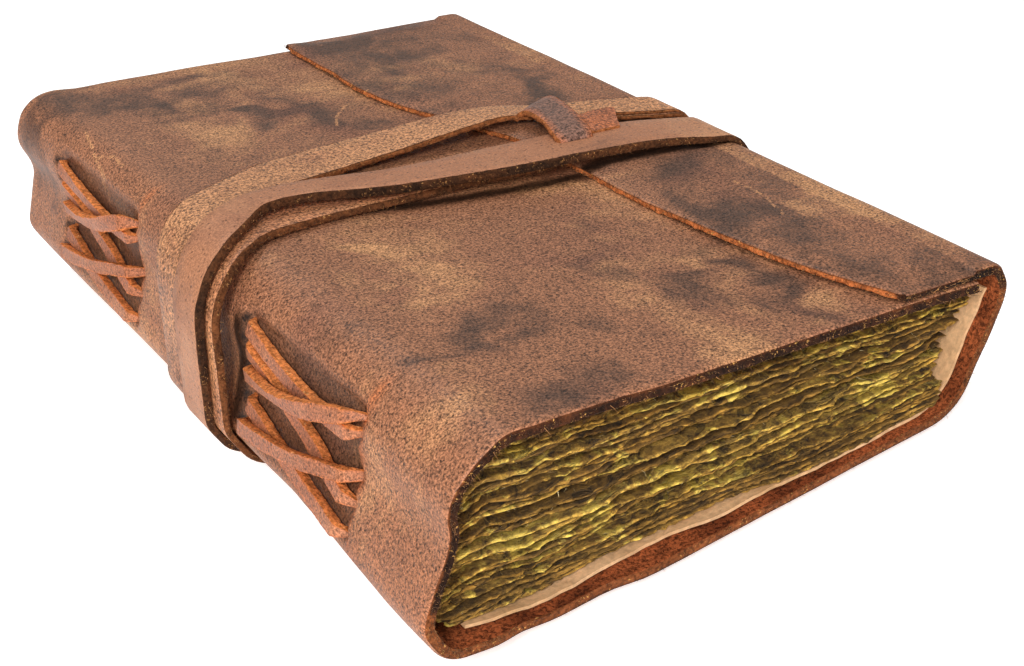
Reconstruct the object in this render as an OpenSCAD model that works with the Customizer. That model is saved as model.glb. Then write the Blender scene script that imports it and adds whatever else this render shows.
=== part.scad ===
// Leather journal, closed and lying on its back cover, in millimetres.
// X runs from the spine to the fore-edge, Y from the tail to the head, Z up.
// One hide makes the front cover, the spine, the back cover, the wall over the
// fore-edge and the flap. A long strap is wound round it and hitched on the flap.

/* [Leather cover] */
// Height of the hide, from the tail of the book to its head
cover_l = 240; // [200:1:280]
// Thickness of the hide
hide_t = 2.6; // [2:0.1:3.2]
// Width of the back cover, from the heel of the spine to the wall
back_w = 136; // [120:1:160]
// Height of the front cover at the spine, to the grain side
spine_h = 53.8; // [50:0.2:60]
// Height of the front cover at its free edge, to the grain side
fore_h = 33.6; // [31:0.2:36]
// Space between the free edge of the front cover and the wall
fore_gap = 10.5; // [8:0.5:14]
// How far the hollow of the spine sits inside its shoulder
waist_in = 1.6; // [0.5:0.1:2.5]
// Height of the hollow of the spine
waist_z = 32; // [28:0.5:36]
// How far the bulge over the heel stands out past the shoulder
bulge_out = 5.4; // [3:0.1:7]
// Height of that bulge
bulge_z = 15; // [12:0.5:18]
// Radius of the shoulder, where the front cover turns into the spine
shoulder_r = 14; // [8:0.5:16]
// How far the wall leans out over the back cover
wall_lean = 16.3; // [10:0.1:20]
// Height of the corner of the wall that leans out farthest
wall_h = 28; // [25:0.5:30]
// How far the flap reaches back over the front cover at the head
flap_reach_head = 54.9; // [50:0.1:80]
// How far it reaches at the middle
flap_reach_mid = 36.8; // [30:0.1:48]
// How far it reaches at the tail
flap_reach_tail = 20.8; // [16:0.1:30]

/* [Pages] */
// Height of the paper
paper_l = 224; // [190:1:236]
// Number of sewn gatherings of pages
gatherings = 5; // [3:1:6]
// Sheaves of leaves that show in each gathering
sheaves = 3; // [2:1:3]
// Space kept between the pages and the wall
page_gap = 4.5; // [3:0.5:8]
// Depth of the waves in the leaves
page_wave = 0.7; // [0:0.1:1]
// How far the torn edge of a sheaf falls short of the longest
deckle = 2.4; // [0:0.1:4]
// Thickness of the liner that faces the back cover and the wall
liner_t = 0.9; // [0.6:0.1:1.2]

/* [Lacing] */
// Distance between the two columns of holes of one lacing
lace_span = 53; // [48:1:60]
// Place of the tail lacing's inner column of holes
tail_lace_y = -32; // [-40:1:-31]
// Place of the head lacing's outer column of holes
head_lace_y = 88; // [80:1:92]
// Width of the thong
thong_w = 4.2; // [3.4:0.1:4.6]
// Thickness of the thong
thong_t = 1.4; // [1:0.1:1.6]
// Diameter of the holes in the spine
lace_hole_d = 3.2; // [2.8:0.1:3.6]

/* [Strap] */
// Thickness of the strap
strap_t = 2.1; // [1.6:0.1:2.4]
// Width of the strap over the spine
strap_w = 14; // [11:0.5:14]
// Thickness of its skived tip
tip_t = 1.5; // [1.2:0.1:1.8]
// Width of its tip, which makes the hitch
tip_w = 12.5; // [10:0.5:13]

/* [Hidden] */

// Clearances
fit = 0.3;            // between pieces that lie on each other
layer_fit = 0.2;      // between the turns of the strap
turn_gap = 2.9;       // behind the pages, for the thong's inside stretches

// Heights and slopes of the front cover, from the values above
spine_x = -74.5;
heel_x = spine_x - 1;
heel_z = 4.6;         // height of the heel's corner
heel_run = 23.5;      // from the heel to where the back cover lies flat
toe_x = heel_x + back_w;
corner_x = toe_x + wall_lean;
front_edge_x = corner_x - fore_gap;
cover_slope = (spine_h - fore_h) / (front_edge_x - spine_x);
slope_deg = atan(cover_slope);
lip_in = 3.3;         // from the corner of the wall to the corner of the flap
flap_lift = (fit + hide_t) / cos(slope_deg);
flap_mid_x = front_edge_x - flap_reach_mid - 1;
function cover_z(x) = spine_h - cover_slope * (x - spine_x);
function flap_z(x) = cover_z(x) + flap_lift;

// A line of straight stretches and round corners, as [x, z, normal x, normal z].
// A corner is [x, z, radius]. The outside of the book is on the right of the line.
corner_steps = 6;
function unit(v) = v / norm(v);
function heading(a, b) = unit([b[0] - a[0], b[1] - a[1]]);
function outward(d) = [d[1], -d[0]];
function turned(v, a) = [v[0] * cos(a) - v[1] * sin(a), v[0] * sin(a) + v[1] * cos(a)];
function swing(d1, d2) = atan2(d1[0] * d2[1] - d1[1] * d2[0], d1 * d2);
function round_corner(before, c, after) =
    let (d1 = heading(before, c), d2 = heading(c, after), a = swing(d1, d2),
         side = sign(a), n1 = outward(d1), r = c[2],
         start = [c[0], c[1]] - d1 * r * tan(abs(a) / 2),
         centre = start - n1 * r * side)
    [for (i = [0:corner_steps])
        let (n = turned(n1, a * i / corner_steps), p = centre + n * r * side)
        [p[0], p[1], n[0], n[1]]];
function line_end(p, d) = let (n = outward(d)) [p[0], p[1], n[0], n[1]];
function open_line(c) = let (e = len(c) - 1) [
    line_end(c[0], heading(c[0], c[1])),
    for (i = [1:e - 1]) each round_corner(c[i - 1], c[i], c[i + 1]),
    line_end(c[e], heading(c[e - 1], c[e]))];
function closed_line(c) = let (e = len(c), loop = [
    for (i = [0:e - 1]) each round_corner(c[(i + e - 1) % e], c[i], c[(i + 1) % e])])
    [each loop, loop[0]];
function gap_to(line, i) = norm([line[i + 1][0] - line[i][0], line[i + 1][1] - line[i][1]]);
function run_lengths(line) = [
    for (i = 0, s = 0; i < len(line); s = s + (i < len(line) - 1 ? gap_to(line, i) : 0), i = i + 1)
        s];
function column(line, runs, k) = [for (i = [0:len(line) - 1]) [runs[i], line[i][k]]];
function measured(line) = let (runs = run_lengths(line)) [for (k = [0:3]) column(line, runs, k)];
// The point a height h off the line, s along it
function off_line(m, s, h) = [lookup(s, m[0]) + h * lookup(s, m[2]),
                              lookup(s, m[1]) + h * lookup(s, m[3])];
// The distance along a stretch of the line at which coordinate k has a value
function place_on(line, runs, first, last, k, way, value) =
    lookup(way * value, [for (i = [first:last]) [way * line[i][k], runs[i]]]);

// Radii of the corners of the hide, on the grain side
waist_r = 17;
bulge_r = 7;
heel_r = 9;
heel_toe_r = 60;
toe_r = 14;
wall_r = 7;
lip_r = 5;

// The grain side of the hide, from the free edge of the front cover to the flap's edge
flap_spare = 8;       // cut off by the curved edge
flap_end_x = front_edge_x - flap_reach_head - flap_spare;
lip_x = corner_x - lip_in;
shoulder = [spine_x, spine_h, shoulder_r];
waist = [spine_x + waist_in, waist_z, waist_r];
bulge = [spine_x - bulge_out, bulge_z, bulge_r];
heel = [heel_x, heel_z, heel_r];
heel_toe = [heel_x + heel_run, 0, heel_toe_r];
toe = [toe_x, 0, toe_r];
wall_top = [corner_x, wall_h, wall_r];
lip = [lip_x, flap_z(lip_x), lip_r];
hide = open_line([[front_edge_x, fore_h], shoulder, waist, bulge, heel, heel_toe, toe,
                  wall_top, lip, [flap_end_x, flap_z(flap_end_x)]]);
hide_runs = run_lengths(hide);
hide_m = measured(hide);
// Corner numbers on the hide's line, and the middle point of a corner
SHOULDER = 0;
HEEL = 3;
TOE = 5;
WALL_TOP = 6;
function hide_mid(corner) = 1 + corner * (corner_steps + 1) + corner_steps / 2;
function spine_s(z) = place_on(hide, hide_runs, hide_mid(SHOULDER), hide_mid(HEEL), 1, -1, z);
function wall_s(z) = place_on(hide, hide_runs, hide_mid(TOE), hide_mid(WALL_TOP), 1, 1, z);
function under_s(x) = place_on(hide, hide_runs, hide_mid(HEEL), hide_mid(TOE), 0, 1, x);

// The taut line that the strap follows: it bridges the hollow of the spine
flap_bend_r = 40;
wrap = closed_line([[flap_mid_x, flap_z(flap_mid_x), flap_bend_r], shoulder, bulge, heel, heel_toe,
                    toe, wall_top, lip]);
wrap_runs = run_lengths(wrap);
wrap_m = measured(wrap);
round_s = wrap_runs[len(wrap) - 1];
function wrap_mid(corner) = corner * (corner_steps + 1) + corner_steps / 2;
WRAP_SHOULDER = 1;
WRAP_HEEL = 3;
WRAP_TOE = 5;
WRAP_LIP = 7;
function on_front(x) = place_on(wrap, wrap_runs, 0, wrap_mid(WRAP_SHOULDER), 0, -1, x);
function on_flap(x) = place_on(wrap, wrap_runs, wrap_mid(WRAP_LIP), len(wrap) - 1, 0, -1, x);
function on_spine(z) =
    place_on(wrap, wrap_runs, wrap_mid(WRAP_SHOULDER), wrap_mid(WRAP_HEEL), 1, -1, z);
function on_under(x) = place_on(wrap, wrap_runs, wrap_mid(WRAP_HEEL), wrap_mid(WRAP_TOE), 0, 1, x);
function on_wall(z) = place_on(wrap, wrap_runs, wrap_mid(WRAP_TOE), wrap_mid(WRAP_LIP), 1, 1, z);
// Height of the taut line over the front cover
function bridge_h(x) = flap_lift * (x - spine_x) / (flap_mid_x - spine_x) * cos(slope_deg);

// Heights of the strap's turns off the taut line
low = fit;
over_lip = 0.4;       // more room where a slanting turn crosses the lip
high = fit + strap_t + layer_fit;
lowest = fit + strap_t;

// The book stands on the turns under it, and the frame is at the middle of its base
shift_x = (max([for (p = hide) -p[0]]) - max([for (p = hide) p[0]])) / 2;
shift_z = lowest;
module placed() translate([shift_x, 0, shift_z]) children();
module along_book(l) rotate([90, 0, 0]) linear_extrude(height = l, center = true) children();

// Cover
function hide_side(h, s0, s1) = [
    off_line(hide_m, s0, h),
    for (i = [0:len(hide) - 1]) if (hide_runs[i] > s0 && hide_runs[i] < s1)
        [hide[i][0] + h * hide[i][2], hide[i][1] + h * hide[i][3]],
    off_line(hide_m, s1, h)];
function band(h0, h1, s0, s1) = concat(hide_side(h0, s0, s1),
    let (back = hide_side(h1, s0, s1)) [for (i = [len(back) - 1:-1:0]) back[i]]);
// Curved edge of the flap, seen from above, from v = -1 at the tail to 1 at the head:
// it sweeps out to the head with a soft step and pulls back at the tail corner
flap_steps = 24;
step_from = -0.08;
step_over = 0.68;
tail_power = 3.2;
function soft_step(f) = let (c = min(max(f, 0), 1)) c * c * (3 - 2 * c);
function flap_edge_x(v) = front_edge_x - flap_reach_mid
    - (flap_reach_head - flap_reach_mid) * soft_step((v - step_from) / step_over)
    + (flap_reach_mid - flap_reach_tail) * pow(max(-v, 0), tail_power);
module flap_cut() {
    reach = cover_l / 2 + 2;
    translate([0, 0, flap_z(0) - flap_lift + fit / 2 / cos(slope_deg)])
    rotate([0, slope_deg, 0])
    linear_extrude(height = hide_t * 2)
    polygon([
        [flap_end_x - 10, reach],
        [flap_end_x - 10, -reach],
        for (i = [0:flap_steps])
            let (v = 2 * i / flap_steps - 1) [flap_edge_x(v) / cos(slope_deg), v * reach]]);
}
function lace_zs(side) = side == 0 ? [43.6, 38.5, 31, 24.7, 18.8] : [43.4, 38.8, 29.7, 23.8, 17.2];
module at_hide(y, s, h) {
    p = off_line(hide_m, s, h);
    translate([p[0], y, p[1]])
    rotate([0, atan2(lookup(s, hide_m[2]), lookup(s, hide_m[3])), 0])
    children();
}
module lace_legs(y0, d, h0, h1)
    for (side = [0, 1])
        for (z = lace_zs(side))
            at_hide(y0 - side * lace_span, spine_s(z), h0)
            cylinder(h = h1 - h0, d = d, $fn = 24);
module cover()
    color("sienna")
    placed()
    difference() {
        along_book(cover_l) polygon(band(0, -hide_t, 0, hide_runs[len(hide) - 1]));
        flap_cut();
        lace_legs(tail_lace_y, lace_hole_d, -hide_t - 1, 1);
        lace_legs(head_lace_y, lace_hole_d, -hide_t - 1, 1);
    }

// Liner, a sheet on the flesh side of the back cover and up the wall
liner_past_heel = 4;
liner_below_top = 3;
liner_longer = 6;     // than the paper
liner_from = under_s(heel_toe[0] - liner_past_heel);
liner_to = wall_s(wall_h - liner_below_top);
module liner()
    color("tan")
    placed()
    along_book(paper_l + liner_longer)
    polygon(band(-hide_t - fit, -hide_t - fit - liner_t, liner_from, liner_to));

// Pages: gatherings folded at the spine, each of a few sheaves with torn edges
layers = gatherings * sheaves;
bed_run = 2;          // the pages leave the flat a little before the heel
function bed_z(x) = hide_t + liner_t + 2 * fit
    + max(0, heel_toe[0] + bed_run - x) * heel_z / heel_run;
// The roof over them: the front cover's flesh side, and the inside of the shoulder
shoulder_p = hide[hide_mid(SHOULDER)];
shoulder_c = [shoulder_p[0] - shoulder_r * shoulder_p[2], shoulder_p[1] - shoulder_r * shoulder_p[3]];
shoulder_in = shoulder_r - hide_t - fit;
function roof_z(x) = let (dx = x - shoulder_c[0]) dx < 0
    ? shoulder_c[1] + sqrt(max(shoulder_in * shoulder_in - dx * dx, 0))
    : cover_z(x) - (hide_t + fit) / cos(slope_deg);
wave_steps = 9;
wave_turn = 3.3;
wave_shift = 71;
spread = 137;
function uneven(i) = abs(sin(i * spread + 40));
function leaf_z(k, x) = let (f = k / layers) bed_z(x) + f * (roof_z(x) - bed_z(x))
    + (k == 0 || k == layers
        ? 0
        : page_wave * sin(x * wave_turn + k * wave_shift) * sin(f * 180));
// The flesh side of the spine and of the wall, as x for a height
function spine_in_x(z) = off_line(hide_m, spine_s(z), -hide_t)[0];
function wall_in_x(z) = off_line(hide_m, wall_s(z), -hide_t)[0];
near_spine = spine_x + 6;
near_wall = corner_x - 10;
fold_step = 1.3;      // the middle sheaf of a gathering stands nearer the spine
under_shoulder = 2.6; // the top gathering keeps clear of the thong in the shoulder
fold_run = 1.5;
torn_run = 0.6;
function fold_x(k) = max([for (f = [0, 0.5, 1]) spine_in_x(leaf_z(k + f, near_spine))])
    + turn_gap + (k % sheaves == floor(sheaves / 2) ? 0 : fold_step)
    + (k >= layers - sheaves ? under_shoulder : 0);
function torn_x(k) = min([for (f = [0, 1]) wall_in_x(leaf_z(k + f, near_wall))])
    - liner_t - page_gap - deckle * uneven(k);
function torn_y(k) = paper_l / 2 - deckle * uneven(k + 3);
// The outline of a sheaf: its wavy faces, a round fold and a blunt torn edge
function sheaf(k) =
    let (x0 = fold_x(k), x1 = torn_x(k),
         xs = [for (i = [0:wave_steps]) x0 + fold_run + (x1 - x0 - fold_run) * i / wave_steps],
         z0 = (leaf_z(k, x0) + leaf_z(k + 1, x0)) / 2,
         z1 = (leaf_z(k, x1) + leaf_z(k + 1, x1)) / 2)
    [[x0, z0], for (x = xs) [x, leaf_z(k, x)], [x1 + torn_run, z1],
     for (i = [wave_steps:-1:0]) [xs[i], leaf_z(k + 1, xs[i])]];
module text_block()
    color("darkkhaki")
    placed()
    for (k = [0:layers - 1])
        translate([0, (uneven(k + 9) - uneven(k + 3)) * deckle / 2, 0])
        along_book(torn_y(k) + torn_y(k + 6))
        polygon(sheaf(k));

// Lacing: one thong for each group of holes. It runs outside from hole to hole
// and returns inside through the folds of the gatherings.
outside_turns = [[2, 0, 1], [4, 2, 1], [0, 1, 0], [1, 3, 0], [3, 4, 0]];
inside_turns = [[0, 0], [1, 1], [3, 3], [4, 4]];
thong_steps = 6;
thong_low = 0.5;
thong_bow = 2.3;
weld = 0.2;
inside_h = -hide_t - fit - thong_t;
// Triangles round a swept band whose rings have n points each
function tube_faces(rings, n) = [
    for (j = [1:n - 2]) [0, j + 1, j],
    for (i = [0:rings - 2]) for (j = [0:n - 1])
        let (a = i * n + j, b = i * n + (j + 1) % n)
        each [[a, b, b + n], [a, b + n, a + n]],
    for (j = [1:n - 2]) [(rings - 1) * n, (rings - 1) * n + j, (rings - 1) * n + j + 1]];
// A thong from hole a to hole b, laid h off the hide and bowed outward
module thong(y0, sa, sb, h, bow) {
    way = unit([sb - sa, -lace_span]);
    over = thong_w / 3;
    half = [-way[1], way[0]] * thong_w / 2;
    points = [
        for (i = [0:thong_steps])
            let (f = i / thong_steps, e = (f * 2 - 1) * over, up = h + bow * 4 * f * (1 - f),
                 s = sa + (sb - sa) * f + way[0] * e, y = y0 - lace_span * f + way[1] * e)
            for (c = [[-1, 0], [1, 0], [1, 1], [-1, 1]])
                let (p = off_line(hide_m, s + half[0] * c[0], up + thong_t * c[1]))
                [p[0], y + half[1] * c[0], p[1]]];
    polyhedron(points, tube_faces(thong_steps + 1, 4), convexity = 4);
}
module lacing(y0) {
    lace_legs(y0, lace_hole_d - 2 * fit, inside_h + weld, thong_low + thong_t - weld);
    for (t = outside_turns)
        thong(y0, spine_s(lace_zs(0)[t[0]]), spine_s(lace_zs(1)[t[1]]), thong_low,
              t[2] * thong_bow);
    for (t = inside_turns)
        thong(y0, spine_s(lace_zs(0)[t[0]]), spine_s(lace_zs(1)[t[1]]), inside_h, 0);
}
module tail_lacing()
    color("chocolate")
    placed()
    lacing(tail_lace_y);
module head_lacing()
    color("chocolate")
    placed()
    lacing(head_lace_y);

// Strap: stations by hand along the taut line, as [distance, y, height, width].
// It starts against the flap's edge, goes three times round the book, and its tip
// comes up over the wall once more to the hitch.
wide = strap_w + 2.5;
narrow = tip_w + 1;
first_turn = [
    [on_front(flap_mid_x - 3), -9, fit - bridge_h(flap_mid_x - 3) + 0.05, strap_w],
    [on_front(-42), -6.8, fit - bridge_h(-42) + 0.05, strap_w],
    [on_front(-58), -9, fit - bridge_h(-58) + 0.15, strap_w],
    [on_spine(48), -19.5, low, strap_w],
    [on_spine(36), -22, low, strap_w],
    [on_spine(bulge_z), -22, low, strap_w],
    [on_under(-60), -23.5, low, strap_w],
    [on_under(toe_x - 4), -24, low, wide],
    [on_wall(10), -24, low, wide],
    [on_wall(wall_h), -21.5, low + over_lip, wide]];
second_turn = [
    [on_flap(66) - round_s, -17.5, low + over_lip, wide],
    [on_flap(50) - round_s, -12.8, low + 0.9, wide],
    [on_front(18), -9, low + 1, wide],
    [on_front(-12), -6.8, low + 1.2, strap_w],
    [on_front(-40), -2, high - 0.4, strap_w - 2],
    [on_front(-56), -4.5, high, strap_w - 2],
    [on_spine(48), -17, high, strap_w],
    [on_spine(38), -18.6, high, strap_w],
    [on_spine(bulge_z), -15.5, high, strap_w],
    [on_under(-68), -9.4, high, strap_w],
    [on_under(-54), -9.2, low, strap_w],
    [on_under(toe_x - 4), -8, low, strap_w],
    [on_wall(10), -5, low, narrow],
    [on_wall(wall_h), 2.5, low + over_lip, narrow]];
third_turn = [
    [on_flap(66) - round_s, 7, low + over_lip, narrow],
    [on_flap(54) - round_s, 9.6, low, narrow],
    [on_flap(44) - round_s, 15, low, tip_w - 2],
    [on_front(flap_mid_x), 22.5, low, narrow],
    [on_front(16), 23.8, low, narrow],
    [on_front(-4), 23.5, low - 0.9, narrow],
    [on_front(-20), 23, low - 1.2, narrow],
    [on_front(-40), 18.5, low - 0.6, narrow],
    [on_front(-56), 8.5, low, narrow],
    [on_spine(48), 0, low, narrow],
    [on_spine(36), -2.2, low, narrow],
    [on_spine(bulge_z), -1.5, low, narrow],
    [on_under(-66), 4.8, low, narrow],
    [on_under(-54), 6.2, low, narrow],
    [on_under(toe_x - 2), 7.6, low, tip_w],
    [on_wall(9), 8.8, high, tip_w],
    [on_wall(wall_h), 8.6, high + over_lip, tip_w]];
last_turn = [
    [on_flap(66) - round_s, 8.4, high + over_lip, tip_w],
    [on_flap(56) - round_s, 9.8, high, tip_w],
    [on_flap(41) - round_s, 14, high, tip_w - 2]];
function shifted(turn, k) = [for (t = turn) [t[0] + k * round_s, t[1], t[2], t[3]]];
stations = concat(first_turn, shifted(second_turn, 1), shifted(third_turn, 2),
                  shifted(last_turn, 3));
strap_from = stations[0][0];
strap_to = stations[len(stations) - 1][0];
// The value of a column of the stations, eased over a short stretch
ease = 7;
function eased(k, s) = let (t = [for (q = stations) [q[0], q[k]]])
    (lookup(s - ease, t) + lookup(s - ease / 2, t) + lookup(s, t) + lookup(s + ease / 2, t)
     + lookup(s + ease, t)) / 5;
longest_step = 11;
strap_s = [
    for (k = [0:3]) for (i = [0:len(wrap) - 2])
        let (l = wrap_runs[i + 1] - wrap_runs[i], n = ceil(l / longest_step))
        for (j = [0:n - 1])
            let (s = k * round_s + wrap_runs[i] + l * j / n)
            if (s > strap_from + 0.5 && s < strap_to - 0.5) s];
function on_wrap(s, h) = off_line(wrap_m, s - round_s * floor(s / round_s), h);
function strap_ring(s) =
    let (y = eased(1, s), h = eased(2, s), w = eased(3, s),
         way = unit([2, eased(1, s + 1) - eased(1, s - 1)]), side = [-way[1], way[0]] * w / 2)
    [for (c = [[-1, 0], [0, 0], [1, 0], [1, 1], [0, 1], [-1, 1]])
        let (p = on_wrap(s + side[0] * c[0], h + strap_t * c[1])) [p[0], y + side[1] * c[0], p[1]]];
module strap_round() {
    rings = [strap_ring(strap_from), for (s = strap_s) strap_ring(s), strap_ring(strap_to)];
    polyhedron([for (r = rings) each r], tube_faces(len(rings), 6), convexity = 12);
}
// The hitch lies on the flap's slope: x and y as seen from above, h over the flap
module on_flap_plane() translate([0, 0, flap_z(0)]) rotate([0, slope_deg, 0]) children();
hitch_h = high + strap_t + 0.1;
hitch_from = [37.6, 11.5];
hitch_way = unit([-5.2, -25.2]);
hitch_across = [hitch_way[1], -hitch_way[0]] * tip_w / 2;
// The band's course, as distance from hitch_from and height, with its fold at each end
hitch_turn = [[-4, 0.6], [-6.2, 2.4], [-4.4, hitch_h], [2, hitch_h + 0.2], [12, hitch_h],
              [19, hitch_h - 0.5], [21.8, hitch_h - 1.7], [19, hitch_h - 2.3]];
module hitch_band() {
    n = len(hitch_turn);
    points = [
        for (i = [0:n - 1])
            let (a = hitch_turn[max(i - 1, 0)], b = hitch_turn[min(i + 1, n - 1)],
                 d = unit(b - a), up = [-d[1], d[0]] * tip_t)
            for (c = [[-1, 0], [1, 0], [1, 1], [-1, 1]])
                let (q = hitch_turn[i] + up * c[1],
                     xy = hitch_from + hitch_way * q[0] + hitch_across * c[0])
                [xy[0], xy[1], q[1]]];
    polyhedron(points, tube_faces(n, 4), convexity = 6);
}
// The square-cut end of the strap, which comes out from under the band
stub_under = [37.6, -3.4];
stub_end = [51.8, -3.4];
stub_low = 0.3;
module hitch_stub() {
    side = [-1, 6];
    translate([0, 0, hitch_h - tip_t - stub_low])
    linear_extrude(height = tip_t)
    polygon([stub_under - side, stub_end - side, stub_end + side, stub_under + side]);
}
module strap()
    color("saddlebrown")
    placed() {
        strap_round();
        on_flap_plane() {
            hitch_band();
            hitch_stub();
        }
    }

cover();
text_block();
liner();
tail_lacing();
head_lacing();
strap();
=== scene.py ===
"""A handmade leather journal, closed and lying on its back cover: one waxed brown hide, torn
olive leaves, a pale lining, two laced thongs and a long strap wound round it and hitched."""

import math

import bmesh
import bpy
import numpy as np
from mathutils import Matrix, Vector


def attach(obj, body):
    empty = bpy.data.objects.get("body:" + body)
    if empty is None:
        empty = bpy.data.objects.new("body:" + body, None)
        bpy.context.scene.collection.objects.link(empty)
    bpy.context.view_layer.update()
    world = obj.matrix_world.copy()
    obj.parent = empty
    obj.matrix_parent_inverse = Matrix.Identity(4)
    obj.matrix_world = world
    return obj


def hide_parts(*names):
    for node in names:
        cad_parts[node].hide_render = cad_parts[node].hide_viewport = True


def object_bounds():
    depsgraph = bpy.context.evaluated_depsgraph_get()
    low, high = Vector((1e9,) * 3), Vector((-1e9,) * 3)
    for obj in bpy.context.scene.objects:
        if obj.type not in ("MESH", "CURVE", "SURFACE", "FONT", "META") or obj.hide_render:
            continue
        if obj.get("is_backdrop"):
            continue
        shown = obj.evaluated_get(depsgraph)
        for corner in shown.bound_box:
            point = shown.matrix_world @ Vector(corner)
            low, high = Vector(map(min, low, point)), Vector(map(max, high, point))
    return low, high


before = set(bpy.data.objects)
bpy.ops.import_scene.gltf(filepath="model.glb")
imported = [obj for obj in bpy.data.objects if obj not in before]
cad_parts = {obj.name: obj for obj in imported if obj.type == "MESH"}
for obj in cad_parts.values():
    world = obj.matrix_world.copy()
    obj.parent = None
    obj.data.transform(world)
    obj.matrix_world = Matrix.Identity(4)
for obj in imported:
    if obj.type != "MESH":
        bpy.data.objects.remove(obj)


def plain(bounds):
    if isinstance(bounds, dict):
        return {k: plain(v) for k, v in bounds.items()}
    if isinstance(bounds, (list, tuple, Vector)):
        return [plain(v) for v in bounds]
    return round(float(bounds), 6)


cad_bounds = plain(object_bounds())

# Hide
# The one hide that makes the front cover, the spine, the back cover, the wall over the
# fore-edge and the flap: waxed brown leather 2.6 mm thick, cut by hand, folded and not sewn.
# Its cut edges are raw: dark and soiled at the tail, rust orange along the flap.

# Sizes are millimetres with x from the spine to the fore-edge, y from tail to head, and z up
# from the back cover. LINE follows the hide's grain side from the front cover's free edge
# round the spine, the back, the wall and the flap.
HIDE_T = 2.6
HALF = 120.0
SPINE_X, FORE_X, CORNER_X = -74.5, 66.3, 76.8
SPINE_Z, FORE_Z = 53.8, 33.6
SLOPE = (SPINE_Z - FORE_Z) / (FORE_X - SPINE_X)
FLAP_LIFT = (0.3 + HIDE_T) * math.hypot(1, SLOPE)


def cover_z(x):
    return SPINE_Z - SLOPE * (x - SPINE_X)


def flap_z(x):
    return cover_z(x) + FLAP_LIFT


def smooth(f):
    f = np.clip(f, 0, 1)
    return f * f * (3 - 2 * f)


def noise(x, y, seed):
    """Smooth noise from -1 to 1; x and y are counted in cells."""
    table = np.random.default_rng(seed).uniform(-1, 1, (64, 64))
    x, y = np.broadcast_arrays(np.asarray(x, float), np.asarray(y, float))
    i, j = np.floor(x).astype(int), np.floor(y).astype(int)
    u, v = smooth(x - i), smooth(y - j)
    a, b = table[i % 64, j % 64], table[(i + 1) % 64, j % 64]
    c, d = table[i % 64, (j + 1) % 64], table[(i + 1) % 64, (j + 1) % 64]
    return (a * (1 - u) + b * u) * (1 - v) + (c * (1 - u) + d * u) * v


class Line:
    """Straight stretches and round corners (x, z, radius), measured along their length."""

    def __init__(self, corners, closed=False):
        n = len(corners)
        points = [] if closed else [np.array(corners[0][:2], float)]
        for i in range(n) if closed else range(1, n - 1):
            a, b, c = (np.array(corners[k % n][:2], float) for k in (i - 1, i, i + 1))
            d1, d2 = (b - a) / np.linalg.norm(b - a), (c - b) / np.linalg.norm(c - b)
            turn = math.atan2(d1[0] * d2[1] - d1[1] * d2[0], d1 @ d2)
            r, side = corners[i][2], math.copysign(1, turn)
            n1 = np.array([d1[1], -d1[0]])
            centre = b - d1 * r * math.tan(abs(turn) / 2) - n1 * r * side
            for t in np.linspace(0, turn, 17):
                n2 = np.array([n1[0] * math.cos(t) - n1[1] * math.sin(t),
                               n1[0] * math.sin(t) + n1[1] * math.cos(t)])
                points.append(centre + n2 * r * side)
        points.append(points[0] if closed else np.array(corners[-1][:2], float))
        points = np.array(points)
        run = np.concatenate([[0], np.cumsum(np.hypot(*np.diff(points, axis=0).T))])
        self.length, self.closed = run[-1], closed
        self.s = np.linspace(0, run[-1], int(run[-1] / 0.25))
        self.x, self.z = (np.interp(self.s, run, points[:, k]) for k in (0, 1))
        dx, dz = np.gradient(self.x), np.gradient(self.z)
        size = np.hypot(dx, dz)
        self.nx, self.nz = dz / size, -dx / size

    def at(self, s, h):
        """x and z of the places s along the line and h off it."""
        s = np.asarray(s, float) % self.length if self.closed else np.asarray(s, float)
        f = [np.interp(s, self.s, a) for a in (self.x, self.z, self.nx, self.nz)]
        return f[0] + h * f[2], f[1] + h * f[3]

    def where(self, axis, value, first, last):
        """The distance at which x or z has a value, between two distances."""
        part = (self.s >= first) & (self.s <= last)
        a = (self.x if axis == "x" else self.z)[part]
        order = np.argsort(a)
        return np.interp(value, a[order], self.s[part][order])


SHOULDER, BULGE, HEEL = (SPINE_X, SPINE_Z, 14), (-79.9, 15, 7), (-75.5, 4.6, 9)
HEEL_TOE, TOE = (-52, 0, 60), (60.5, 0, 14)
WALL_TOP, LIP = (CORNER_X, 28, 7), (73.5, flap_z(73.5), 5)
LINE = Line([(FORE_X, FORE_Z), SHOULDER, (-72.9, 32, 17), BULGE, HEEL, HEEL_TOE, TOE, WALL_TOP, LIP,
             (3, flap_z(3))])
BULGE_S, CORNER_S = LINE.s[np.argmin(LINE.x)], LINE.s[np.argmax(LINE.x)]
SHIFT = np.array([-(LINE.x.min() + LINE.x.max()) / 2, 0, 2.4])


def row(x, y, z):
    """Millimetres of the book to metres of the row; the spine's head end stands out a little more
    and its shoulder is squarer there."""
    x, y, z = np.broadcast_arrays(np.asarray(x, float), np.asarray(y, float), np.asarray(z, float))
    v = y / HALF
    z = z + 1.8 * v * smooth((-54 - x) / 10) * smooth((z - 40) / 8)
    x = x - v * (2.2 + 1.2 * smooth((z - 36) / 8)) * smooth((-46 - x) / 22)
    x = x - 1.8 * smooth((v - 0.55) / 0.45) * smooth((-52 - x) / 20) * smooth((z - 30) / 10)
    x = x - 2.7 * smooth((-v - 0.42) / 0.55) * smooth((-50 - x) / 20) * smooth((36 - z) / 18)
    y = y + 1.5 * smooth((v - 0.6) / 0.4) * smooth((30 - x) / 60)
    return (np.stack([x, y, z], -1) + SHIFT) * 0.001


def spine_s(z):
    return LINE.where("z", z, BULGE_S - 45, BULGE_S + 18)


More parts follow.
